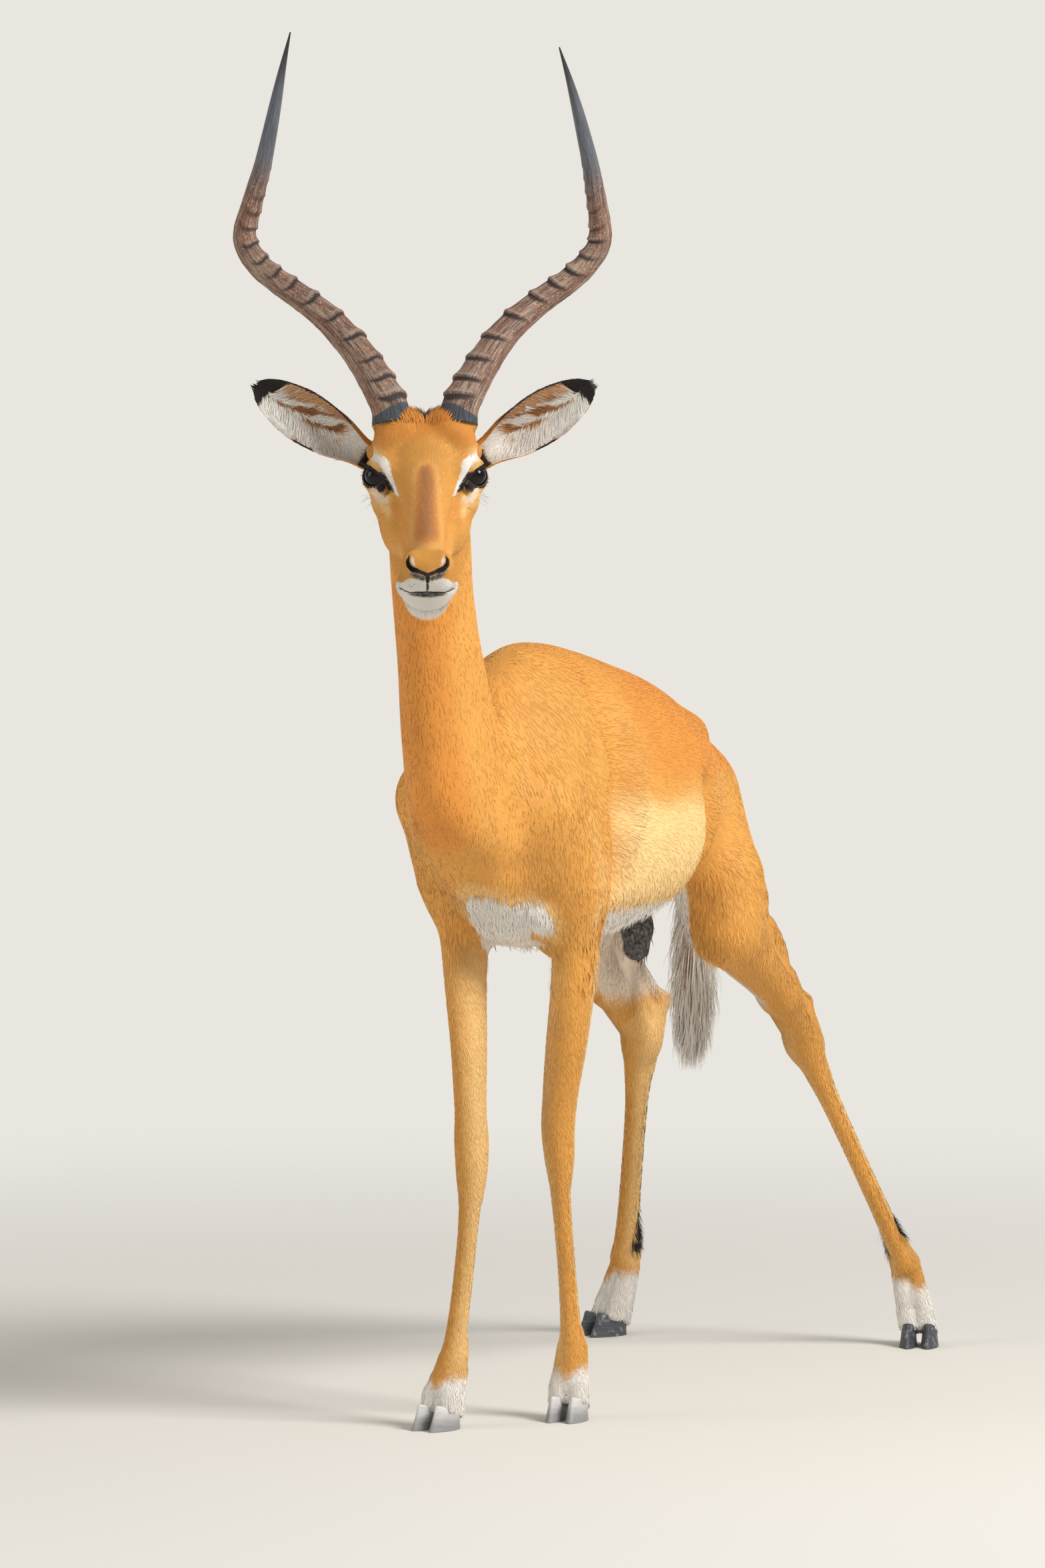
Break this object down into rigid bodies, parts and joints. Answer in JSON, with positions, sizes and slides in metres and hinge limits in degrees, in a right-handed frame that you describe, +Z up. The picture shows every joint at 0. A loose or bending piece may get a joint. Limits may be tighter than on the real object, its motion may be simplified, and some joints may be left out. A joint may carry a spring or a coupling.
{
  "type": "standing impala ram",
  "caption": "Still model of a standing male impala with ringed lyre-shaped horns, turned head, leaf-shaped ears, slender legs, cloven hooves and brush tail.",
  "frame": {"origin": "centre of the model's bounding box, on the floor the hooves stand on", "axes": "+Z up, -Y the way the body faces, +X the animal's left"},
  "size_m": [0.442, 1.2822, 1.59],
  "materials": {
    "coat": "short matte fur, tan with a redder back, white belly and black and white face marks",
    "tail_hair": "long matte hair, white with a dark middle line",
    "horn": "satin keratin, ringed and weathered below, smooth and nearly black at the tips",
    "claw": "dull hoof keratin, dusty",
    "eye": "wet and glossy, near black"
  },
  "bodies": {
    "root": {"head": "coat", "neck": "coat", "trunk": "coat", "foreleg_left": "coat", "foreleg_right": "coat", "hindleg_left": "coat", "hindleg_right": "coat", "ear_left": "coat", "ear_right": "coat", "scrotum": "coat", "tail": "tail_hair", "horn_left": "horn", "horn_right": "horn", "claw_fore_left_left": "claw", "claw_fore_left_right": "claw", "claw_fore_right_left": "claw", "claw_fore_right_right": "claw", "claw_hind_left_left": "claw", "claw_hind_left_right": "claw", "claw_hind_right_left": "claw", "claw_hind_right_right": "claw", "eye_left": "eye", "eye_right": "eye"}
  },
  "joints": []
}
